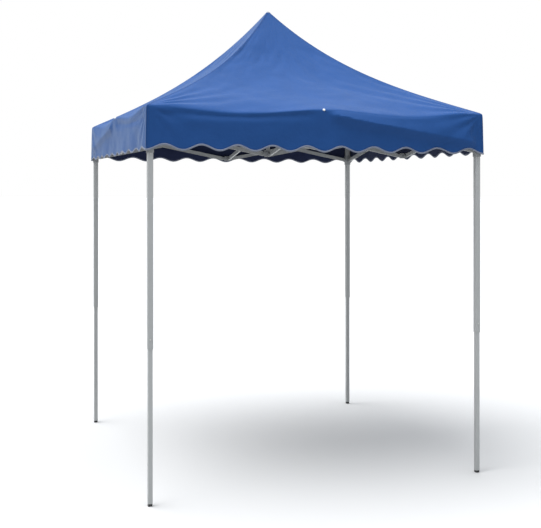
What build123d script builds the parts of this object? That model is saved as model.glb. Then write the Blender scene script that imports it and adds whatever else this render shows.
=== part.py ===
"""A two-metre pop-up canopy: a folding steel frame under a fabric roof with a scalloped skirt.

Units are millimetres. The origin is on the ground under the middle of the frame, +Z is up, +X runs
along the front from left to right, and -Y is the front. The frame is drawn open, legs at full length.

Four telescopic legs stand at the corners. Each side is two scissor pairs that meet at a middle
bracket, and four more pairs join those brackets to a hub in the centre. In every pair one bar runs
from the top at its near end down to its far end, and the other runs the other way, so when the
sliders go down the legs the whole frame closes towards the centre, and the upper pivots keep
their height. A pole stands on the lower hub and holds up the peak of the roof.
"""
import os
from math import atan2, degrees, hypot

from build123d import *

os.makedirs("parts", exist_ok=True)

# ---- driving dimensions ----
leg_spacing = 1960  # leg axis to leg axis, on both sides of the square
lower_pivot_height = 1905  # pivots on the sliders, lower side brackets and lower hub
pivot_rise = 180  # from them up to the pivots on the leg heads, upper side brackets and upper hub

bar_depth = 24  # upright size of the bar tube
bar_thickness = 12
bar_wall = 0.8
bar_gap = 2  # between the two bars of a pair, kept by the collar of the middle rivet
bar_end_clearance = 2.8  # between the round end of a bar and the leg head beside it

rivet_radius = 3
rivet_clearance = 0.1
rivet_head_radius = 6
rivet_head_thickness = 2

ear_thickness = 3.5
ear_radius = 9
ear_side_clearance = 0.4  # between an ear and the bar beside it

outer_leg_size = 30
outer_leg_wall = 1
outer_leg_bottom = 830
leg_clearance = 1.5  # between the inner leg and the outer leg around it
inner_leg_wall = 0.8
inner_leg_overlap = 100  # length of inner leg left inside the outer leg at full height
tube_corner_radius = 2.5

foot_height = 13
foot_wall = 1  # how far the foot cap stays inside the faces of the inner leg
foot_plug_height = 30
foot_plug_clearance = 0.2
foot_plug_corner = 1.5

head_wall = 5
head_roof = 8
head_clearance = 0.2
head_rise = 25  # height of the head above its pivots
head_skirt = 22  # length of the head below its pivots

slider_wall = 2.6
slider_clearance = 0.5
slider_above = 33
slider_below = 37

bracket_margin = 1.1  # how far a bracket's block stands out beyond its forks
bracket_height = 34

pole_radius = 12.5
pole_wall = 1.2
pole_clearance = 0.6
pole_seat_depth = 24
pole_seat_clearance = 0.1
pole_top_gap = 0.5  # between the dome and the cloth over it
dome_plug_length = 30
dome_clearance = 0.15

clip_button_radius = 4
clip_hole_clearance = 0.3
clip_button_reach = 3.5  # how far a button stands out of the outer leg
clip_button_round = 1.5
clip_flange_radius = 6
clip_flange_thickness = 1.5
clip_play = 0.4  # between the flange and the tube wall behind it
clip_leaf_thickness = 0.8
clip_leaf_width = 8
clip_leaf_drop = 45
height_clip_rise = 50  # above the bottom of the outer leg
slider_clip_gap = 1  # below the slider

canopy_overhang = 25  # from the leg axes out to the skirt
fabric_thickness = 1.2
fabric_rise = 1.5  # upright thickness of the sloping cloth
eave_gap = 11  # from the top of the leg heads to the top of the cloth at the eave
roof_rise = 720
peak_flat = 40  # width of the cloth lying on the dome
roof_linear_share = 0.62  # the hips sag: part of the rise is even, and the rest is cubic
roof_steps = 12
skirt_drop = 241
scallop_height = 36
scallops_per_side = 10

# ---- sizes worked out from them ----
half_spacing = leg_spacing / 2
upper_pivot_height = lower_pivot_height + pivot_rise
head_top_height = upper_pivot_height + head_rise
head_size = outer_leg_size + 2 * head_clearance + 2 * head_wall
pivot_offset = head_size / 2 + bar_depth / 2 + bar_end_clearance
far_pivot = half_spacing - pivot_offset
pair_span = far_pivot - pivot_offset
bar_length = hypot(pair_span, pivot_rise)
bar_slope = degrees(atan2(pivot_rise, pair_span))
bar_lateral = (bar_gap + bar_thickness) / 2
rivet_hole_radius = rivet_radius + rivet_clearance
ear_inner = bar_thickness / 2 + ear_side_clearance
bracket_size = 2 * (bar_lateral + ear_inner + ear_thickness + bracket_margin)
outer_leg_bore = outer_leg_size - 2 * outer_leg_wall
inner_leg_size = outer_leg_bore - 2 * leg_clearance
inner_leg_bore = inner_leg_size - 2 * inner_leg_wall
inner_leg_top = outer_leg_bottom + inner_leg_overlap
outer_leg_top = head_top_height - head_roof
slider_size = outer_leg_size + 2 * slider_clearance + 2 * slider_wall
slider_clip_level = lower_pivot_height - slider_below - slider_clip_gap - clip_button_radius
clip_button_tip = outer_leg_size / 2 + clip_button_reach
height_clip_level = outer_leg_bottom + height_clip_rise
canopy_width = leg_spacing + 2 * canopy_overhang
eave_height = head_top_height + eave_gap
peak_height = eave_height + roof_rise
skirt_low_height = eave_height - skirt_drop
pole_top_height = peak_height - fabric_rise - pole_top_gap

headings = {"front": (0, -1), "right": (1, 0), "back": (0, 1), "left": (-1, 0)}
corners = {
    "front_left": (-1, -1),
    "front_right": (1, -1),
    "back_right": (1, 1),
    "back_left": (-1, 1),
}


def save(piece, name):
    """Label a finished piece and write it to its own file."""
    piece.label = name
    export_step(piece, f"parts/{name}.step")


def pair_plane(near, heading):
    """The upright plane of a scissor pair: X runs from its near end to its far end, Y is up."""
    along_x, along_y = headings[heading]
    return Plane(origin=(*near, 0), x_dir=(along_x, along_y, 0), z_dir=(along_y, -along_x, 0))


def add_disc(plane, point, radius, height, mode=Mode.ADD):
    """Add, or cut away, a cylinder that stands on a plane."""
    with BuildSketch(plane) as disc:
        with Locations(point):
            Circle(radius)
    extrude(disc.sketch, amount=height, mode=mode)


def add_rivet(plane, point, low, high, collar=False):
    """Add a rivet across a joint, its heads lying outside the faces at low and high."""
    shank_low = low - rivet_clearance
    shank_high = high + rivet_clearance
    add_disc(plane.offset(shank_low), point, rivet_radius, shank_high - shank_low)
    for head_low in (shank_low - rivet_head_thickness, shank_high):
        add_disc(plane.offset(head_low), point, rivet_head_radius, rivet_head_thickness)
    if collar:
        collar_height = bar_gap - 2 * rivet_clearance
        add_disc(plane.offset(-collar_height / 2), point, rivet_head_radius, collar_height)


def make_bar(plane, near_height, far_height, lateral, name, middle_rivet):
    """One bar of a pair: a flat tube with round-cut ends, and the rivets that turn with it."""
    near = (pivot_offset, near_height)
    far = (far_pivot, far_height)
    middle = ((near[0] + far[0]) / 2, (near[1] + far[1]) / 2)
    slope = bar_slope if far_height > near_height else -bar_slope
    face = plane.offset(lateral)
    with BuildPart() as bar:
        with BuildSketch(face):
            with Locations(middle):
                SlotCenterToCenter(bar_length, bar_depth, rotation=slope)
        extrude(amount=bar_thickness / 2, both=True)
        with BuildSketch(face):
            with Locations(middle):
                Rectangle(bar_length + 2 * bar_depth, bar_depth - 2 * bar_wall, rotation=slope)
        extrude(amount=bar_thickness / 2 - bar_wall, both=True, mode=Mode.SUBTRACT)
        with BuildSketch(face):
            with Locations(near, middle, far):
                Circle(rivet_hole_radius)
        extrude(amount=bar_thickness, both=True, mode=Mode.SUBTRACT)
        ear_outer = ear_inner + ear_thickness
        for end in (near, far):
            add_rivet(plane, end, lateral - ear_outer, lateral + ear_outer)
        if middle_rivet:
            pair_outer = bar_gap / 2 + bar_thickness
            add_rivet(plane, middle, -pair_outer, pair_outer, collar=True)
    save(bar.part, name)


def add_fork(plane, body_face, pivot, height, lateral):
    """Add two ears that reach from a bracket's face to a pivot and stand on both sides of a bar."""
    for side in (lateral - ear_inner - ear_thickness, lateral + ear_inner):
        with BuildSketch(plane.offset(side)) as ear:
            with Locations((pivot, height)):
                Circle(ear_radius)
            with Locations(((pivot + body_face) / 2, height)):
                Rectangle(abs(body_face - pivot), 2 * ear_radius)
            with Locations((pivot, height)):
                Circle(rivet_hole_radius, mode=Mode.SUBTRACT)
        extrude(ear.sketch, amount=ear_thickness)


def add_block(centre, size, bottom, top, mode=Mode.ADD, corner=tube_corner_radius):
    """Add, or cut away, an upright square block with rounded corners."""
    with BuildSketch(Plane.XY.offset(bottom)) as block:
        with Locations(centre):
            RectangleRounded(size, size, corner)
    extrude(block.sketch, amount=top - bottom, mode=mode)


def add_tube(centre, size, wall, bottom, top):
    """Add an upright square tube."""
    add_block(centre, size, bottom, top)
    bore = size - 2 * wall
    add_block(centre, bore, bottom, top, Mode.SUBTRACT, tube_corner_radius - wall / 2)


def side_centre(side):
    """Where the middle brackets of a side stand."""
    return (headings[side][0] * half_spacing, headings[side][1] * half_spacing)


def half_sides(side):
    """The two ways along a side, from its middle to its corners."""
    return ("left", "right") if side in ("front", "back") else ("front", "back")


def corner_name(side, way):
    """The corner at the end of a half side."""
    return f"{side}_{way}" if side in ("front", "back") else f"{way}_{side}"


# ---- scissor pairs ----
def make_pair(near, heading, down_name, up_name):
    """Both bars of a pair. The down bar starts at the top of the near end and holds the middle rivet."""
    plane = pair_plane(near, heading)
    make_bar(plane, upper_pivot_height, lower_pivot_height, bar_lateral, down_name, True)
    make_bar(plane, lower_pivot_height, upper_pivot_height, -bar_lateral, up_name, False)


def make_pairs():
    """Four pairs from the hub to the sides, and two along each side."""
    for side in headings:
        make_pair((0, 0), side, f"bar_center_{side}_upper", f"bar_center_{side}_lower")
        for way in half_sides(side):
            make_pair(side_centre(side), way, f"bar_{side}_{way}_slider", f"bar_{side}_{way}_head")


# ---- brackets ----
def make_side_brackets():
    """An upper and a lower bracket in the middle of each side, each with three forks."""
    bracket_half = bracket_size / 2
    far_face = half_spacing - bracket_half + ear_thickness
    near_face = bracket_half - ear_thickness
    for side in headings:
        centre = side_centre(side)
        for level, height, near_lateral in (
            ("upper", upper_pivot_height, bar_lateral),
            ("lower", lower_pivot_height, -bar_lateral),
        ):
            with BuildPart() as bracket:
                add_block(centre, bracket_size, height - bracket_height / 2, height + bracket_height / 2)
                for way in half_sides(side):
                    add_fork(pair_plane(centre, way), near_face, pivot_offset, height, near_lateral)
                add_fork(pair_plane((0, 0), side), far_face, far_pivot, height, -near_lateral)
            save(bracket.part, f"side_bracket_{side}_{level}")


def make_hubs():
    """The upper hub, which slides on the pole, and the lower hub, which holds the pole's foot."""
    near_face = bracket_size / 2 - ear_thickness
    hub_half = bracket_height / 2
    for level, height, lateral in (
        ("upper", upper_pivot_height, bar_lateral),
        ("lower", lower_pivot_height, -bar_lateral),
    ):
        with BuildPart() as hub:
            add_block((0, 0), bracket_size, height - hub_half, height + hub_half)
            for heading in headings:
                add_fork(pair_plane((0, 0), heading), near_face, pivot_offset, height, lateral)
            if level == "upper":
                bore_bottom = Plane.XY.offset(height - hub_half)
                add_disc(bore_bottom, (0, 0), pole_radius + pole_clearance, bracket_height, Mode.SUBTRACT)
            else:
                seat = Plane.XY.offset(height + hub_half - pole_seat_depth)
                add_disc(seat, (0, 0), pole_radius + pole_seat_clearance, pole_seat_depth, Mode.SUBTRACT)
        save(hub.part, f"hub_{level}")


def make_pole():
    """The centre pole, a round tube with a domed plug of its own in the top."""
    pole_bottom = lower_pivot_height + bracket_height / 2 - pole_seat_depth
    tube_top = pole_top_height - pole_radius
    with BuildPart() as pole:
        with BuildSketch(Plane.XY.offset(pole_bottom)):
            Circle(pole_radius)
            Circle(pole_radius - pole_wall, mode=Mode.SUBTRACT)
        extrude(amount=tube_top - pole_bottom)
        with BuildSketch(Plane.XZ):
            with BuildLine():
                plug_radius = pole_radius - pole_wall - dome_clearance
                rim = tube_top + dome_clearance
                Line((0, rim - dome_plug_length), (plug_radius, rim - dome_plug_length))
                Line((plug_radius, rim - dome_plug_length), (plug_radius, rim))
                Line((plug_radius, rim), (pole_radius, rim))
                TangentArc((pole_radius, rim), (0, rim + pole_radius), tangent=(0, 1))
                Line((0, rim + pole_radius), (0, rim - dome_plug_length))
            make_face()
        revolve(axis=Axis.Z)
    save(pole.part, "center_pole")


# ---- legs ----
def add_corner_forks(corner, size, height, lateral):
    """Add the two forks of a leg head or slider, one for each side that meets at the corner."""
    end, flank = corner.split("_")
    body_face = half_spacing - size / 2 + ear_thickness / 2
    for side, way in ((end, flank), (flank, end)):
        plane = pair_plane(side_centre(side), way)
        add_fork(plane, body_face, far_pivot, height, lateral)


def add_button_hole(centre, outward, level):
    """Cut the round hole for a snap button through the outward wall of a leg."""
    wall_plane = Plane(origin=(*centre, level), x_dir=(1, 0, 0), z_dir=(0, outward, 0))
    hole_radius = clip_button_radius + clip_hole_clearance
    add_disc(wall_plane, (0, 0), hole_radius, outer_leg_size, Mode.SUBTRACT)


def make_clip(centre, outward, level, bore, name):
    """A snap button on a bent leaf spring that leans on the far wall of the tube around it."""
    x, y = centre
    seat = bore / 2 - clip_play
    leaf_start = seat - clip_flange_thickness
    button_plane = Plane(origin=(x, y, level), x_dir=(1, 0, 0), z_dir=(0, outward, 0))
    leaf_plane = Plane(origin=(x, y, level), x_dir=(0, outward, 0), z_dir=(outward, 0, 0))
    with BuildPart() as clip:
        with BuildSketch(button_plane.offset(leaf_start)):
            Circle(clip_flange_radius)
        extrude(amount=clip_flange_thickness)
        with BuildSketch(button_plane.offset(leaf_start)):
            Circle(clip_button_radius)
        extrude(amount=clip_button_tip - leaf_start)
        tip = clip.faces().sort_by(Axis((x, y, level), (0, outward, 0)))[-1]
        fillet(tip.edges(), clip_button_round)
        with BuildSketch(leaf_plane):
            with BuildLine():
                Polyline(
                    (leaf_start - clip_leaf_thickness / 2, clip_flange_radius),
                    (leaf_start - clip_leaf_thickness / 2, -clip_flange_radius),
                    (0, -clip_leaf_drop),
                    (clip_leaf_thickness - seat, -clip_flange_radius),
                )
            trace(line_width=clip_leaf_thickness)
        extrude(amount=clip_leaf_width / 2, both=True)
    save(clip.part, name)


def make_legs():
    """Each corner: the telescopic leg, its head, slider, foot cap and both snap buttons."""
    for corner, (toward_x, toward_y) in corners.items():
        centre = (toward_x * half_spacing, toward_y * half_spacing)
        with BuildPart() as outer_leg:
            add_tube(centre, outer_leg_size, outer_leg_wall, outer_leg_bottom, outer_leg_top)
            add_button_hole(centre, toward_y, height_clip_level)
            add_button_hole(centre, toward_y, slider_clip_level)
        save(outer_leg.part, f"outer_leg_{corner}")

        with BuildPart() as inner_leg:
            add_tube(centre, inner_leg_size, inner_leg_wall, foot_height, inner_leg_top)
            add_button_hole(centre, toward_y, height_clip_level)
            foot_size = inner_leg_size - 2 * foot_wall
            add_block(centre, foot_size, 0, foot_height - foot_plug_clearance)
            plug_size = inner_leg_bore - 2 * foot_plug_clearance
            plug_bottom = foot_height - foot_plug_clearance
            add_block(centre, plug_size, plug_bottom, foot_height + foot_plug_height, corner=foot_plug_corner)
        save(inner_leg.part, f"inner_leg_{corner}")

        with BuildPart() as head:
            skirt_bottom = upper_pivot_height - head_skirt
            add_block(centre, head_size, skirt_bottom, head_top_height)
            add_corner_forks(corner, head_size, upper_pivot_height, -bar_lateral)
            socket = outer_leg_size + 2 * head_clearance
            socket_top = outer_leg_top + head_clearance
            add_block(centre, socket, skirt_bottom, socket_top, Mode.SUBTRACT)
        save(head.part, f"leg_head_{corner}")

        with BuildPart() as slider:
            bottom = lower_pivot_height - slider_below
            top = lower_pivot_height + slider_above
            add_block(centre, slider_size, bottom, top)
            add_corner_forks(corner, slider_size, lower_pivot_height, bar_lateral)
            add_block(centre, outer_leg_size + 2 * slider_clearance, bottom, top, Mode.SUBTRACT)
        save(slider.part, f"slider_{corner}")

        make_clip(centre, toward_y, height_clip_level, inner_leg_bore, f"height_clip_{corner}")
        make_clip(centre, toward_y, slider_clip_level, outer_leg_bore, f"slider_clip_{corner}")


# ---- fabric ----
def add_roof(inset, drop, mode):
    """Add, or cut away, the sagging pyramid whose faces lie inset and drop inside the outer one."""
    rings = []
    for step in range(roof_steps + 1):
        climb = step / roof_steps
        rise = climb * roof_linear_share + climb**3 * (1 - roof_linear_share)
        height = eave_height + (peak_height - eave_height) * rise
        width = canopy_width - 2 * inset - (canopy_width - peak_flat) * climb
        with BuildSketch(Plane.XY.offset(height - drop)) as ring:
            Rectangle(width, width)
        rings.append(ring.sketch)
    for low_ring, high_ring in zip(rings, rings[1:]):
        loft([low_ring, high_ring], ruled=True, mode=mode)


def make_canopy():
    """The roof and its hanging skirt as one thin cloth, the hem cut in waves."""
    half_width = canopy_width / 2
    pitch = canopy_width / scallops_per_side
    hem_middle = skirt_low_height + scallop_height / 2
    hem_end = half_width + pitch / 4
    below = skirt_low_height - scallop_height
    with BuildPart() as canopy:
        with BuildSketch(Plane.XY.offset(skirt_low_height)):
            Rectangle(canopy_width, canopy_width)
        extrude(amount=eave_height - skirt_low_height)
        add_roof(0, 0, Mode.ADD)
        with BuildSketch(Plane.XY.offset(skirt_low_height)):
            Rectangle(canopy_width - 2 * fabric_thickness, canopy_width - 2 * fabric_thickness)
        extrude(amount=eave_height - fabric_rise - skirt_low_height, mode=Mode.SUBTRACT)
        add_roof(fabric_thickness, fabric_rise, Mode.SUBTRACT)
        for across in (Plane.XZ, Plane.YZ):
            with BuildSketch(across):
                with BuildLine():
                    for wave in range(2 * scallops_per_side + 1):
                        middle = wave * pitch / 2 - half_width
                        turn = skirt_low_height + scallop_height * (wave % 2)
                        ThreePointArc(
                            (middle - pitch / 4, hem_middle),
                            (middle, turn),
                            (middle + pitch / 4, hem_middle),
                        )
                    Polyline((hem_end, hem_middle), (hem_end, below), (-hem_end, below), (-hem_end, hem_middle))
                make_face()
            extrude(amount=canopy_width, both=True, mode=Mode.SUBTRACT)
    save(canopy.part, "canopy_fabric")


make_pairs()
make_side_brackets()
make_hubs()
make_pole()
make_legs()
make_canopy()
print(f"bars {bar_length:.1f} mm long, sloping {bar_slope:.2f} degrees when open")
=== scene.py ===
# %% [markdown]
# A two-metre pop-up canopy: a grey folding frame on four legs, under a blue cloth roof with a
# hanging skirt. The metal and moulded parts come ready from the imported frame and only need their
# finish. The cloth is made here, because cloth is what mesh work does best.

# %% Load the frame
from math import atan, atan2, cos, exp, hypot, pi, radians, sin, sqrt

import bmesh
import bpy
from mathutils import Matrix, Vector, noise


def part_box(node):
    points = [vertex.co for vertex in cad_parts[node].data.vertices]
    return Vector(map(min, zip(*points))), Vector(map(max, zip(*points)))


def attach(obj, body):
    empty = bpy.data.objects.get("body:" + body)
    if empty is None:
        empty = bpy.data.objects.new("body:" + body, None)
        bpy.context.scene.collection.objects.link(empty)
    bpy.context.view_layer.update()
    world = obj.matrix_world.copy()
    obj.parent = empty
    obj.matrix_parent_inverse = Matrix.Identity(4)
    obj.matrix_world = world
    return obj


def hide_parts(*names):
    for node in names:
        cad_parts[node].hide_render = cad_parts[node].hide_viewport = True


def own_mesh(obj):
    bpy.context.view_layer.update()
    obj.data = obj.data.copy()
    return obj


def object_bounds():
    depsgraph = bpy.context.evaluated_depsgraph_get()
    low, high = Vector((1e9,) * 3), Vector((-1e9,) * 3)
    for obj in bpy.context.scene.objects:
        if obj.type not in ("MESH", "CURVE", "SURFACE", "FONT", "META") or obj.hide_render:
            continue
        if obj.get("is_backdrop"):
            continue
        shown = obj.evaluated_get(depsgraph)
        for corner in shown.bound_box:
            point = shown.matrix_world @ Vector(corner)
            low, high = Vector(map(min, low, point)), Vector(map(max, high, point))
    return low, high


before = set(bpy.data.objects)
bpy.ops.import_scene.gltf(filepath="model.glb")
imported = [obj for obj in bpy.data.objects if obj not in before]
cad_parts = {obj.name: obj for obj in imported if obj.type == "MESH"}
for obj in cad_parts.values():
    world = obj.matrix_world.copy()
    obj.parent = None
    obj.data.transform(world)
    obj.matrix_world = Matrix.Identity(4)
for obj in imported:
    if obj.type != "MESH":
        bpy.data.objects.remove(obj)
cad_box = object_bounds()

print("frame loaded with", len(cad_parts), "nodes; box", cad_box)

# %% [markdown]
# Every place is read from the frame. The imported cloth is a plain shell, but its box says how wide
# the roof is, how high the peak stands, and how low the hem hangs.

# %% Sizes of the cloth
cloth_low, cloth_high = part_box("canopy_fabric")
half = cloth_high[0]  # from the middle to the skirt
peak = cloth_high[2]
hem_low = cloth_low[2]
skirt_drop = 0.241
eave = hem_low + skirt_drop
flat_half = 0.004  # half the width of the cloth that lies on the top of the pole's dome
dome_rise = 0.001
slope_length = hypot(half - flat_half, peak - eave)
linear_share = 0.62  # the hips sag: part of the climb is even, and the rest is cubic
cone_start = 0.93  # share of the climb where the small peak cone begins
belly = 0.026  # how far the middle of a roof panel sinks in
eave_sag = 0.024  # how far the eave drops halfway between two brackets
full_swing = 0.24  # metres below the eave where the skirt waves and flares the most
scallops = 10
scallop_heights = {"front": 0.030, "right": 0.028, "back": 0.026, "left": 0.017}
cloth_thickness = 0.0008
sides = {"front": (0, -1), "right": (1, 0), "back": (0, 1), "left": (-1, 0)}
ways = {
    "front": ("left", "right"),
    "right": ("front", "back"),
    "back": ("right", "left"),
    "left": ("back", "front"),
}
print(f"roof {2 * half:.3f} m wide, eave {eave:.3f} m, peak {peak:.3f} m")

# %% [markdown]
# The real cover is four triangles of coated polyester sewn along the hips, with a skirt sewn on at
# the eave. It is pulled tight over the corners and the pole, so it never lies flat: the panels
# belly in between the hips, the eave sags where no bracket holds it up, and fine pull folds fan
# out from every corner. All of that is one function, which turns a place on the cut cloth into a
# point in space. Every piece of cloth is a grid put through the same function, so their edges
# meet exactly.


# %% Relief of the stretched cloth
def ease(share):
    """A smooth step from 0 to 1."""
    share = min(max(share, 0), 1)
    return share * share * (3 - 2 * share)


# Each fold is six numbers: across and metres below the eave at one end, the same at its other end,
# how far it stands out, and how softly it ends below, in metres. Less than 0 is a valley.
skirt_folds = {
    "front": (
        (-0.96, 0.034, -0.02, 0.026, -0.008, 0.030),
        (0.01, 0.020, 0.985, 0.175, 0.027, 0.032),
    ),
    "right": (
        (-0.95, 0.150, 0.02, 0.030, 0.014, 0.035),
        (0.10, 0.050, 0.95, 0.120, -0.006, 0.035),
    ),
    "back": (
        (-0.95, 0.040, -0.05, 0.090, -0.007, 0.030),
        (0.02, 0.030, 0.95, 0.150, 0.021, 0.035),
    ),
    "left": (
        (-0.96, 0.160, -0.05, 0.040, 0.013, 0.035),
        (0.00, 0.040, 0.95, 0.060, -0.007, 0.030),
    ),
}


def fold_height(side, across, below):
    """How far the long folds of the skirt stand out."""
    height = 0
    for start_x, start_y, end_x, end_y, stands_out, soft in skirt_folds[side]:
        share = (across - start_x) / (end_x - start_x)
        if below <= 0 or not 0 < share < 1:
            continue
        crest = start_y + (end_y - start_y) * share
        slope = below / crest if below < crest else exp(-(((below - crest) / soft) ** 2))
        height += stands_out * slope * ease(min(share, 1 - share) / 0.10)
    return height


def corner_pulls(across, run, seed):
    """Fine folds that fan out from the two corners of a side."""
    total = 0
    for corner in (-1, 1):
        along = (1 - corner * across) * half
        reach = hypot(along, run)
        angle = atan2(run, along + 0.001)
        wander = noise.noise(Vector((along * 2.1, run * 2.1, seed + corner)))
        ripple = sin(angle * 15 + wander * 2.6 + seed * 1.7 + corner)
        total += ripple * exp(-reach / 0.42) * ease(reach / 0.15)
    return total


def relief(side, across, run, climb):
    """How far the cloth stands out from its plain shape, and how far it drops, in metres."""
    seed = list(sides).index(side) * 3.7
    free = ease((1 - abs(across)) / 0.10) * ease((cone_start - climb) / 0.25)
    below = max(-run, 0)
    swell = -belly * (1 - across * across) * sin(pi * min(climb / cone_start, 1)) * free
    swell += 0.0040 * corner_pulls(across, run, seed) * free * (1 - 3.2 * below)
    broad = noise.noise(Vector((across * 2.4, run * 3.1, seed)))
    fine = noise.noise(Vector((across * 7.5, run * 11.0, seed + 20)))
    swell += (0.0065 * broad + 0.0030 * fine) * free
    swell += fold_height(side, across, below) * free
    swing = sin(across * 8.3 + seed) + 0.6 * sin(across * 19.0 + 2 * seed)
    swell += 0.0032 * swing * (below / full_swing) ** 2 * free
    span_sag = sin(pi * across) ** 2
    drop = eave_sag * span_sag * exp(-((max(run, 0) / 0.13) ** 2)) * ease(1 - below / 0.11)
    return swell, drop * free


print("long folds on the skirts:", sum(len(folds) for folds in skirt_folds.values()))

# %% [markdown]
# The plain shape comes next: an even climb that steepens towards the peak, a soft bend at the
# eave, and a skirt that hangs and flares a little. The relief is added square to that shape.


# %% Surface of the cover
def cloth_point(side, across, run):
    """A point on the cover. Across goes from -1 to 1 between the corners of a side, and run is
    metres up the roof from the eave, or down the skirt when it is negative."""
    soft = 0.008 + 0.012 * sin(pi * across) ** 2  # the eave is crisp over the brackets
    bend = sqrt(run * run + soft * soft)
    roof_run = (run + bend) / 2
    climb = min(roof_run / slope_length, 1)
    over = max(roof_run - slope_length, 0)
    reach = half - (half - flat_half) * climb - over
    rise = linear_share * climb + (1 - linear_share) * climb**3
    height = eave + (peak - dome_rise - eave) * rise + run - roof_run
    if over > 0:
        height = peak - dome_rise * (max(reach, 0) / flat_half) ** 2
    reach += 0.004 * max(-run, 0) / full_swing
    steep = (peak - eave) / (half - flat_half) * (linear_share + 3 * (1 - linear_share) * climb**2)
    turn = (1 + run / bend) / 2
    tilt = turn * (pi / 2 - atan(steep))
    swell, drop = relief(side, across, run, climb)
    out_x, out_y = sides[side]
    out = max(reach, 0) + swell * cos(tilt)
    along = across * max(reach, 0)
    height += swell * sin(tilt) - drop
    return Vector((out_x * out - out_y * along, out_y * out + out_x * along, height))


def hem_run(side, across):
    """The run of the scalloped hem: its waves start and end low, at the corners."""
    wave = (1 - cos(pi * scallops * (across + 1))) / 2
    return hem_low + scallop_heights[side] * wave - eave


print("slope length", round(slope_length, 3), "m")

# %% [markdown]
# A finish is a handful of nodes. The cloth needs a weave that follows the threads, so it reads the
# piece's own UV map, laid out in metres. A second map holds the distance to the hip seam and to
# the hem, and rows of stitches are drawn from those.


# %% Helpers for node materials
def new_material(name, colour, roughness):
    """A material with its colour and roughness set, and its node tree."""
    material = bpy.data.materials.new(name)
    material.use_nodes = True
    shader = material.node_tree.nodes["Principled BSDF"]
    shader.inputs["Base Color"].default_value = (*colour, 1)
    shader.inputs["Roughness"].default_value = roughness
    return material, material.node_tree, shader


def node(tree, kind, **settings):
    """Add a node. A setting is an input's value, or a property of the node itself."""
    made = tree.nodes.new(kind)
    for key, value in settings.items():
        if hasattr(made, key):
            setattr(made, key, value)
        else:
            made.inputs[key.replace("_", " ")].default_value = value
    return made


def mix_colours(tree, factor, first, second):
    """Mix two colours, each a constant or a socket."""
    mixer = node(tree, "ShaderNodeMix", data_type="RGBA")
    tree.links.new(factor, mixer.inputs["Factor"])
    for socket, value in ((mixer.inputs[6], first), (mixer.inputs[7], second)):
        if isinstance(value, tuple):
            socket.default_value = (*value, 1)
        else:
            tree.links.new(value, socket)
    return mixer.outputs[2]


def calculate(tree, operation, first, second=0.0, third=0.0):
    """A math node on sockets or numbers."""
    made = node(tree, "ShaderNodeMath", operation=operation)
    for socket, value in zip(made.inputs, (first, second, third)):
        if isinstance(value, (int, float)):
            socket.default_value = value
        else:
            tree.links.new(value, socket)
    return made.outputs[0]


def add_bump(tree, height, distance, below=None):
    """A bump from a height in 0 to 1, over another bump if one is given."""
    bump = node(tree, "ShaderNodeBump", Distance=distance)
    bump.inputs["Strength"].default_value = 1.0
    tree.links.new(height, bump.inputs["Height"])
    if below is not None:
        tree.links.new(below, bump.inputs["Normal"])
    return bump.outputs[0]


print("helpers ready")


# %% Woven cloth
def stitch_row(tree, distance, along, place):
    """A row of stitches, 200 to the metre, on a line at a distance from a seam."""
    line = calculate(tree, "COMPARE", distance, place, 0.0007)
    steps = calculate(tree, "FRACT", calculate(tree, "MULTIPLY", along, 200.0))
    dash = calculate(tree, "GREATER_THAN", steps, 0.3)
    return calculate(tree, "MULTIPLY", line, dash)


def woven_cloth(name, dark, light, stitch, roughness):
    """Coated polyester: a fine plain weave, soft mottling, crinkles, and double stitched seams."""
    material, tree, shader = new_material(name, light, roughness)
    weave_map = node(tree, "ShaderNodeUVMap", uv_map="cloth")
    seam_map = node(tree, "ShaderNodeUVMap", uv_map="seam")
    split = node(tree, "ShaderNodeSeparateXYZ")
    tree.links.new(seam_map.outputs[0], split.inputs[0])
    place = node(tree, "ShaderNodeSeparateXYZ")
    tree.links.new(weave_map.outputs[0], place.inputs[0])
    mottle = node(tree, "ShaderNodeTexNoise", Scale=5.0, Detail=4.0, Roughness=0.6)
    tree.links.new(weave_map.outputs[0], mottle.inputs["Vector"])
    colour = mix_colours(tree, mottle.outputs[0], dark, light)
    hip_rows = calculate(
        tree,
        "MAXIMUM",
        stitch_row(tree, split.outputs[0], place.outputs[1], 0.004),
        stitch_row(tree, split.outputs[0], place.outputs[1], 0.011),
    )
    hem_row = stitch_row(tree, split.outputs[1], place.outputs[0], 0.013)
    rows = calculate(tree, "MAXIMUM", hip_rows, hem_row)
    tree.links.new(mix_colours(tree, rows, colour, stitch), shader.inputs["Base Color"])
    threads = []
    for direction in ("X", "Y"):
        wave = node(tree, "ShaderNodeTexWave", bands_direction=direction)
        wave.inputs["Scale"].default_value = 260.0
        wave.inputs["Distortion"].default_value = 0.3
        tree.links.new(weave_map.outputs[0], wave.inputs["Vector"])
        threads.append(wave.outputs["Fac"])
    weave = calculate(tree, "MULTIPLY", *threads)
    crinkle = node(tree, "ShaderNodeTexNoise", Scale=38.0, Detail=6.0, Roughness=0.62)
    tree.links.new(weave_map.outputs[0], crinkle.inputs["Vector"])
    felled = calculate(tree, "LESS_THAN", split.outputs[0], 0.013)
    surface = add_bump(tree, crinkle.outputs[0], 0.0016)
    surface = add_bump(tree, felled, 0.0008, surface)
    surface = add_bump(tree, rows, -0.0005, surface)
    surface = add_bump(tree, weave, 0.00012, surface)
    tree.links.new(surface, shader.inputs["Normal"])
    shader.inputs["Sheen Weight"].default_value = 0.22
    shader.inputs["Sheen Roughness"].default_value = 0.28
    shader.inputs["Sheen Tint"].default_value = (0.85, 0.97, 1.0, 1)
    shader.inputs["Specular IOR Level"].default_value = 0.06
    return material


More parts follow.
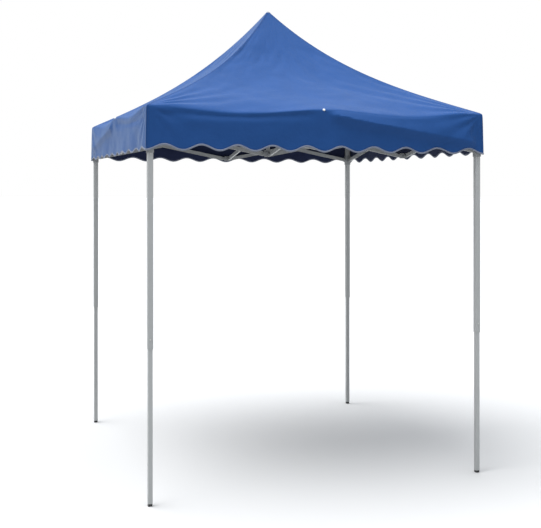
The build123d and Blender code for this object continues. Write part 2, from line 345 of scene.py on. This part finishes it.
blues = (0.011, 0.049, 0.164), (0.016, 0.061, 0.203), (0.008, 0.026, 0.100)
# The inside is the same cloth as the outside; its darker navy blues are painted shade for the
# inside of the cover.
shaded_inside_blues = (0.013, 0.018, 0.045), (0.018, 0.025, 0.062), (0.009, 0.012, 0.035)
outer_cloth = woven_cloth("blue_cloth", *blues, 0.50)
painted_shade_inner_cloth = woven_cloth("cloth_inside_painted_shade", *shaded_inside_blues, 0.60)
print("cloth finishes:", outer_cloth.name, painted_shade_inner_cloth.name)


# %% Hem tape
def tape_finish():
    """A light grey woven binding tape with fine ribs."""
    material, tree, shader = new_material("hem_tape", (0.33, 0.36, 0.46), 0.7)
    weave_map = node(tree, "ShaderNodeUVMap", uv_map="cloth")
    ribs = node(tree, "ShaderNodeTexWave", bands_direction="X", Scale=240.0)
    tree.links.new(weave_map.outputs[0], ribs.inputs["Vector"])
    dust = node(tree, "ShaderNodeTexNoise", Scale=14.0, Detail=3.0)
    tree.links.new(weave_map.outputs[0], dust.inputs["Vector"])
    colour = mix_colours(tree, dust.outputs[0], (0.11, 0.13, 0.18), (0.18, 0.20, 0.26))
    tree.links.new(colour, shader.inputs["Base Color"])
    tree.links.new(add_bump(tree, ribs.outputs["Fac"], 0.0003), shader.inputs["Normal"])
    return material


hem_tape = tape_finish()
print("tape finish:", hem_tape.name)

# %% [markdown]
# The cover is one sheet when the frame is open. When the frame folds, the cloth bunches up between
# the closing bars, and that motion is different at every place. So the roof is cut into narrow
# gores, from the eave to the peak. Each rides on the part that holds its eave. All the cuts lie on
# shared grid lines, so no gap shows when it is open.


# %% Cloth pieces
def grid_mesh(columns, rows, place, maps, facing=None):
    """A grid whose every point is put in place by a function of two shares from 0 to 1."""
    shape = bmesh.new()
    bmesh.ops.create_grid(shape, x_segments=columns, y_segments=rows, size=0.5)
    layers = [shape.loops.layers.uv.new(title) for title in ("cloth", "seam")]
    facings = shape.verts.layers.float_vector.new("facing") if facing else None
    spots = {vert: (vert.co.x + 0.5, vert.co.y + 0.5) for vert in shape.verts}
    for face in shape.faces:
        face.smooth = True
        for loop in face.loops:
            for layer, value in zip(layers, maps(*spots[loop.vert])):
                loop[layer].uv = value
    for vert, spot in spots.items():
        vert.co = place(*spot)
        if facing:
            vert[facings] = facing(*spot)
    return shape


def finish_piece(shape, name, materials):
    """Turn a bmesh into an object at the origin, shaded by its own normals if it has any."""
    mesh = bpy.data.meshes.new(name)
    shape.to_mesh(mesh)
    shape.free()
    if "facing" in mesh.attributes:
        facings = [tuple(item.vector) for item in mesh.attributes["facing"].data]
        mesh.normals_split_custom_set_from_vertices(facings)
        mesh.attributes.remove(mesh.attributes["facing"])
    piece = bpy.data.objects.new(name, mesh)
    bpy.context.scene.collection.objects.link(piece)
    for material in materials:
        mesh.materials.append(material)
    return piece


print("grids carry two maps: cloth, in metres, and seam, the distance to a seam")


# %% Sheets with two faces
def cloth_piece(side, left, right, columns, rows, run_at):
    """Part of the cover between two places across a side."""

    def spot(share_x, share_y):
        across = left + (right - left) * share_x
        return across, run_at(across, share_y)

    def place(share_x, share_y):
        return cloth_point(side, *spot(share_x, share_y))

    def maps(share_x, share_y):
        across, run = spot(share_x, share_y)
        climb = min(max(run, 0) / slope_length, 1)
        reach = half - (half - flat_half) * climb
        return (across * reach, run), ((1 - abs(across)) * reach, run - hem_run(side, across))

    def facing(share_x, share_y):
        across, run = spot(share_x, share_y)
        return cloth_facing(side, across, run)

    return add_inner_face(grid_mesh(columns, rows, place, maps, facing))


def cloth_facing(side, across, run):
    """Which way the outer face of the cloth looks at a place."""
    here = cloth_point(side, across, run)
    sideways = cloth_point(side, across + 0.002, run) - here
    upward = cloth_point(side, across, run + 0.002) - here
    facing = sideways.cross(upward)
    return facing.normalized() if facing.length > 1e-9 else Vector((0, 0, 1))


def add_inner_face(shape):
    """Give the sheet its second face, in the inside blue, a darker copy of the cloth painted as
    shade, and close the edge between them.
    """
    facings = shape.verts.layers.float_vector["facing"]
    copy = bmesh.ops.duplicate(shape, geom=shape.verts[:] + shape.edges[:] + shape.faces[:])["geom"]
    inner_faces = [part for part in copy if isinstance(part, bmesh.types.BMFace)]
    for vert in (part for part in copy if isinstance(part, bmesh.types.BMVert)):
        vert.co -= cloth_thickness * vert[facings]
        vert[facings] = -vert[facings]
    bmesh.ops.reverse_faces(shape, faces=inner_faces)
    for face in inner_faces:
        face.material_index = 1
    open_edges = [edge for edge in shape.edges if edge.is_boundary]
    rim = bmesh.ops.bridge_loops(shape, edges=open_edges)["faces"]
    widest = max(face.calc_area() for face in rim)
    assert widest < 0.00005, widest  # square metres; a wider face would lie across the sheet
    bmesh.ops.recalc_face_normals(shape, faces=rim)
    return shape


print("sheets are", cloth_thickness * 1000, "mm thick, with a face on each side")


column_step = 0.01
gore_edges = (-1, -0.88, -0.5, -0.12, 0.12, 0.5, 0.88, 1)
roof_rows = 96
cone_run = cone_start * slope_length
print("gores per side:", len(gore_edges) - 1)


# %% Roof gores
def gore_body(side, left, right):
    """The body that carries the eave of a gore."""
    middle = (left + right) / 2
    way = ways[side][0 if middle < 0 else 1]
    corner = f"{side}_{way}" if side in ("front", "back") else f"{way}_{side}"
    if abs(middle) < 0.05:
        return f"side_bracket_{side}_upper"
    if abs(middle) > 0.9:
        return f"leg_{corner}"
    return f"bar_{side}_{way}_{'slider' if abs(middle) < 0.5 else 'head'}"


def roof_run(across, share):
    """Rows run from the eave to the foot of the peak cone."""
    return cone_run * share


covers = []
for side in sides:
    for number, (left, right) in enumerate(zip(gore_edges, gore_edges[1:])):
        name = f"roof_{side}_gore_{number + 1}"
        columns = round((right - left) / column_step)
        shape = cloth_piece(side, left, right, columns, roof_rows, roof_run)
        gore = finish_piece(shape, name, (outer_cloth, painted_shade_inner_cloth))
        body = gore_body(side, left, right)
        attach(gore, body)
        low = cloth_point(side, (left + right) / 2, 0)
        high = cloth_point(side, (left + right) / 2, cone_run)
        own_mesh(gore)
        covers.append(gore)
print("roof gores:", len(covers))

# %% [markdown]
# The peak is a small cone of its own. It sits on the pole's dome, and rides on the lower hub. When
# the frame folds, the pole sinks and its top ends up level with the upper hub.


# %% Peak cone
def cone_shape():
    """Four small grids that meet on the pole."""
    whole = bmesh.new()

    def cone_rows(across, share):
        """Rows run from the foot of the cone to the middle of the pole."""
        return cone_run + (slope_length + flat_half - cone_run) * share

    for side in sides:
        quarter = cloth_piece(side, -1, 1, 200, 12, cone_rows)
        part = bpy.data.meshes.new("cone_part")
        quarter.to_mesh(part)
        quarter.free()
        whole.from_mesh(part)
        bpy.data.meshes.remove(part)
    return whole


cone = finish_piece(cone_shape(), "roof_peak_cone", (outer_cloth, painted_shade_inner_cloth))
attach(cone, "hub_lower")
cone_foot = cloth_point("front", 0, cone_run).z
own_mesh(cone)
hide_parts("canopy_fabric")
covers.append(cone)
print("peak cone faces:", len(cone.data.polygons))

# %% [markdown]
# The skirt hangs from the eave, and its hem is cut in ten waves and bound with a pale tape. The
# tape is a grid too, rolled into a flat tube that follows the hem.


# %% Skirt and hem tape shapes
tape_half_height = 0.0050
tape_half_thickness = 0.0017
tape_lift = 0.004  # from the hem's edge up to the middle of the tape


def skirt_shape(side):
    """The hanging skirt of one side, from the hem up to the eave."""

    def skirt_rows(across, share):
        return hem_run(side, across) * (1 - share)

    return cloth_piece(side, -1, 1, 200, 26, skirt_rows)


def tape_shape(side):
    """A flat tube along the hem of one side, closed at both ends."""

    def place(share_x, share_y):
        across = -1 + 2 * share_x
        centre = cloth_point(side, across, hem_run(side, across) + tape_lift)
        turn = 2 * pi * share_y
        out = tape_half_thickness * cos(turn)
        up = tape_half_height * sin(turn)
        return centre + Vector((sides[side][0] * out, sides[side][1] * out, up))

    def maps(share_x, share_y):
        return (2 * half * share_x, 0.02 * share_y), (1, 1)

    shape = grid_mesh(400, 12, place, maps)
    bmesh.ops.remove_doubles(shape, verts=shape.verts, dist=0.00001)
    open_edges = [edge for edge in shape.edges if edge.is_boundary]
    bmesh.ops.holes_fill(shape, edges=open_edges, sides=0)
    bmesh.ops.recalc_face_normals(shape, faces=shape.faces)
    return shape


print("tape", 2000 * tape_half_height, "mm high")

# %% [markdown]
# A pale domed cap covers the bolt in the middle of each eave. It is a ball, flattened and turned so
# that it sits square on the bend of the cloth.


# %% Eave caps
def stud_shape(side):
    """A low dome on the eave, over the bolt of the middle bracket."""
    spot = cloth_point(side, 0, 0)
    shape = bmesh.new()
    bmesh.ops.create_uvsphere(shape, u_segments=24, v_segments=12, radius=0.008)
    bmesh.ops.scale(shape, vec=(1, 1, 0.55), verts=shape.verts)
    turn = cloth_facing(side, 0, 0).to_track_quat("Z", "Y").to_matrix()
    bmesh.ops.rotate(shape, matrix=turn, verts=shape.verts)
    bmesh.ops.translate(shape, vec=spot, verts=shape.verts)
    for face in shape.faces:
        face.smooth = True
    return shape


def stud_finish():
    """Off-white moulded plastic, a little clouded."""
    material, tree, shader = new_material("stud_plastic", (0.62, 0.63, 0.62), 0.45)
    cloud = node(tree, "ShaderNodeTexNoise", Scale=160.0, Detail=3.0)
    tree.links.new(node(tree, "ShaderNodeTexCoord").outputs["Object"], cloud.inputs["Vector"])
    colour = mix_colours(tree, cloud.outputs[0], (0.50, 0.51, 0.50), (0.66, 0.67, 0.66))
    tree.links.new(colour, shader.inputs["Base Color"])
    return material


stud_plastic = stud_finish()
print("cap finish:", stud_plastic.name)

# %% [markdown]
# Each side's skirt, tape and cap ride on the middle bracket of that side.

# %% Skirts in place
for side, (out_x, out_y) in sides.items():
    body = f"side_bracket_{side}_upper"
    skirt = finish_piece(skirt_shape(side), f"skirt_{side}", (outer_cloth, painted_shade_inner_cloth))
    tape = finish_piece(tape_shape(side), f"hem_tape_{side}", (hem_tape,))
    for piece in (skirt, tape):
        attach(piece, body)
        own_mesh(piece)
    stud = finish_piece(stud_shape(side), f"eave_stud_{side}", (stud_plastic,))
    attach(stud, body)
    covers.append(skirt)
print("cloth pieces:", len(covers))

# %% [markdown]
# The frame's own parts keep their exact shape and get a finish each. Steel tube is powder coated:
# an even light grey with a faint orange peel, and scattered scuffs. The brackets are moulded nylon,
# a little darker and duller. The foot caps are black, and since each is part of its leg, the leg's
# finish turns black below the height of the cap.


# %% Powder coat
def coated_steel(name, dark, light, roughness, foot_top=None):
    """Powder coat, with a black foot cap below a height if one is given."""
    material, tree, shader = new_material(name, light, roughness)
    place = node(tree, "ShaderNodeTexCoord").outputs["Object"]
    cloud = node(tree, "ShaderNodeTexNoise", Scale=9.0, Detail=5.0, Roughness=0.65)
    tree.links.new(place, cloud.inputs["Vector"])
    scuff = node(tree, "ShaderNodeTexNoise", Scale=120.0, Detail=8.0, Roughness=0.75)
    stretch = node(tree, "ShaderNodeMapping", Scale=(1.0, 1.0, 0.12))
    tree.links.new(place, stretch.inputs["Vector"])
    tree.links.new(stretch.outputs[0], scuff.inputs["Vector"])
    worn = calculate(tree, "GREATER_THAN", scuff.outputs[0], 0.66)
    marks = calculate(tree, "MULTIPLY", worn, 0.35)
    colour = mix_colours(tree, cloud.outputs[0], dark, light)
    colour = mix_colours(tree, marks, colour, (0.16, 0.16, 0.16))
    if foot_top is not None:
        split = node(tree, "ShaderNodeSeparateXYZ")
        tree.links.new(place, split.inputs[0])
        cap = calculate(tree, "LESS_THAN", split.outputs[2], foot_top)
        colour = mix_colours(tree, cap, colour, (0.015, 0.015, 0.016))
    tree.links.new(colour, shader.inputs["Base Color"])
    peel = node(tree, "ShaderNodeTexNoise", Scale=420.0, Detail=2.0)
    tree.links.new(place, peel.inputs["Vector"])
    tree.links.new(add_bump(tree, peel.outputs[0], 0.0002), shader.inputs["Normal"])
    return material


foot_top = 0.0129
bar_coat = coated_steel("bar_coat", (0.22, 0.23, 0.23), (0.28, 0.29, 0.29), 0.42)
pole_coat = coated_steel("pole_coat", (0.22, 0.23, 0.23), (0.28, 0.29, 0.29), 0.42)
leg_coat = coated_steel("leg_coat", (0.29, 0.30, 0.30), (0.34, 0.35, 0.35), 0.40)
inner_coat = coated_steel("inner_leg_coat", (0.30, 0.31, 0.31), (0.35, 0.36, 0.36), 0.38, foot_top)
print("coats:", bar_coat.name, pole_coat.name, leg_coat.name, inner_coat.name)


# %% Mouldings and springs
def moulded_nylon():
    """Grey moulded nylon with a fine spark-eroded grain and small tonal clouds."""
    material, tree, shader = new_material("moulded_nylon", (0.20, 0.21, 0.215), 0.55)
    place = node(tree, "ShaderNodeTexCoord").outputs["Object"]
    cloud = node(tree, "ShaderNodeTexNoise", Scale=30.0, Detail=3.0)
    tree.links.new(place, cloud.inputs["Vector"])
    colour = mix_colours(tree, cloud.outputs[0], (0.17, 0.18, 0.185), (0.235, 0.245, 0.25))
    tree.links.new(colour, shader.inputs["Base Color"])
    grain = node(tree, "ShaderNodeTexNoise", Scale=1400.0, Detail=2.0)
    tree.links.new(place, grain.inputs["Vector"])
    tree.links.new(add_bump(tree, grain.outputs[0], 0.00012), shader.inputs["Normal"])
    return material


def spring_steel():
    """Bare spring steel with fine lines along the strip."""
    material, tree, shader = new_material("spring_steel", (0.52, 0.52, 0.50), 0.3)
    shader.inputs["Metallic"].default_value = 1.0
    place = node(tree, "ShaderNodeTexCoord").outputs["Object"]
    stretch = node(tree, "ShaderNodeMapping", Scale=(900.0, 900.0, 30.0))
    tree.links.new(place, stretch.inputs["Vector"])
    lines = node(tree, "ShaderNodeTexNoise", Scale=1.0, Detail=4.0)
    tree.links.new(stretch.outputs[0], lines.inputs["Vector"])
    colour = mix_colours(tree, lines.outputs[0], (0.42, 0.42, 0.41), (0.60, 0.60, 0.58))
    tree.links.new(colour, shader.inputs["Base Color"])
    tree.links.new(add_bump(tree, lines.outputs[0], 0.00006), shader.inputs["Normal"])
    return material


nylon = moulded_nylon()
steel = spring_steel()
print("small part finishes:", nylon.name, steel.name)

# %% [markdown]
# Each node takes the finish whose key is the longest start of its name.

# %% Finishes on the frame
finishes = {
    "bar_": bar_coat,
    "center_pole": pole_coat,
    "outer_leg": leg_coat,
    "inner_leg": inner_coat,
    "height_clip": steel,
    "slider_clip": steel,
}
for moulding in ("side_bracket", "hub_", "leg_head", "slider_"):
    finishes[moulding] = nylon
for node_name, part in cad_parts.items():
    matching = [start for start in finishes if node_name.startswith(start)]
    if matching:
        part.data.materials.clear()
        part.data.materials.append(finishes[max(matching, key=len)])
print("finishes on", len(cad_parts), "nodes")

# %% [markdown]
# A canopy like this is shown on plain white. The world is a pale dome that is brightest overhead,
# and the key is one very soft sun, high on the left. So the roof is light, and the skirt, which
# faces sideways, is darker. The floor is pale too.


# %% Floor and light
def floor():
    """A wide pale floor, just under the feet."""
    shape = bmesh.new()
    under_feet = Matrix.Translation((0, 0, -0.001))
    bmesh.ops.create_grid(shape, x_segments=1, y_segments=1, size=200, matrix=under_feet)
    material, tree, shader = new_material("pale_floor", (0.42, 0.42, 0.42), 0.9)
    shader.inputs["Specular IOR Level"].default_value = 0.1
    finish_piece(shape, "floor", (material,))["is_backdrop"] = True


def key_light():
    """A very soft sun, high on the left."""
    lamp = bpy.data.lights.new("key", "SUN")
    lamp.energy = 4.3
    lamp.angle = radians(50)
    holder = bpy.data.objects.new("key", lamp)
    holder.rotation_euler = Vector((0.43, -0.03, -0.90)).to_track_quat("-Z", "Y").to_euler()
    bpy.context.scene.collection.objects.link(holder)


def pale_dome():
    """Light from all round that is strongest overhead, behind a plain white backdrop."""
    world = bpy.data.worlds.new("pale_dome")
    world.use_nodes = True
    tree = world.node_tree
    lit = tree.nodes["Background"]
    lit.inputs["Color"].default_value = (0.93, 0.96, 1.0, 1)
    split = node(tree, "ShaderNodeSeparateXYZ")
    tree.links.new(node(tree, "ShaderNodeTexCoord").outputs["Generated"], split.inputs[0])
    overhead = calculate(tree, "POWER", calculate(tree, "MAXIMUM", split.outputs[2], 0.0), 2.0)
    tree.links.new(calculate(tree, "MULTIPLY_ADD", overhead, 3.1, 0.10), lit.inputs["Strength"])
    backdrop = node(tree, "ShaderNodeBackground", Color=(1, 1, 1, 1), Strength=1.0)
    choice = node(tree, "ShaderNodeMixShader")
    tree.links.new(node(tree, "ShaderNodeLightPath").outputs["Is Camera Ray"], choice.inputs[0])
    tree.links.new(lit.outputs[0], choice.inputs[1])
    tree.links.new(backdrop.outputs[0], choice.inputs[2])
    tree.links.new(choice.outputs[0], tree.nodes["World Output"].inputs[0])
    bpy.context.scene.world = world


floor()
key_light()
pale_dome()
bpy.context.scene.view_settings.view_transform = "Standard"
print("lights placed")

# %% [markdown]
# The camera stands a little to the left of the front, at head height and quite far off, so the
# uprights stay parallel. It looks level, and the lens is shifted to bring the feet into the frame.

# %% Camera
lens = bpy.data.cameras.new("camera")
lens.sensor_width = 36
lens.lens = 64.9
lens.shift_y = -0.1379
lens.clip_end = 200
camera = bpy.data.objects.new("camera", lens)
camera.location = (-2.006, -6.075, 1.674)
camera.rotation_euler = (radians(90), 0, radians(-18.43))
bpy.context.scene.collection.objects.link(camera)
bpy.context.scene.camera = camera
print("camera at", tuple(camera.location))

# %% Finish
boxes = {"cad": cad_box, "visual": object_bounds()}
{key: [list(corner) for corner in value] for key, value in boxes.items()}
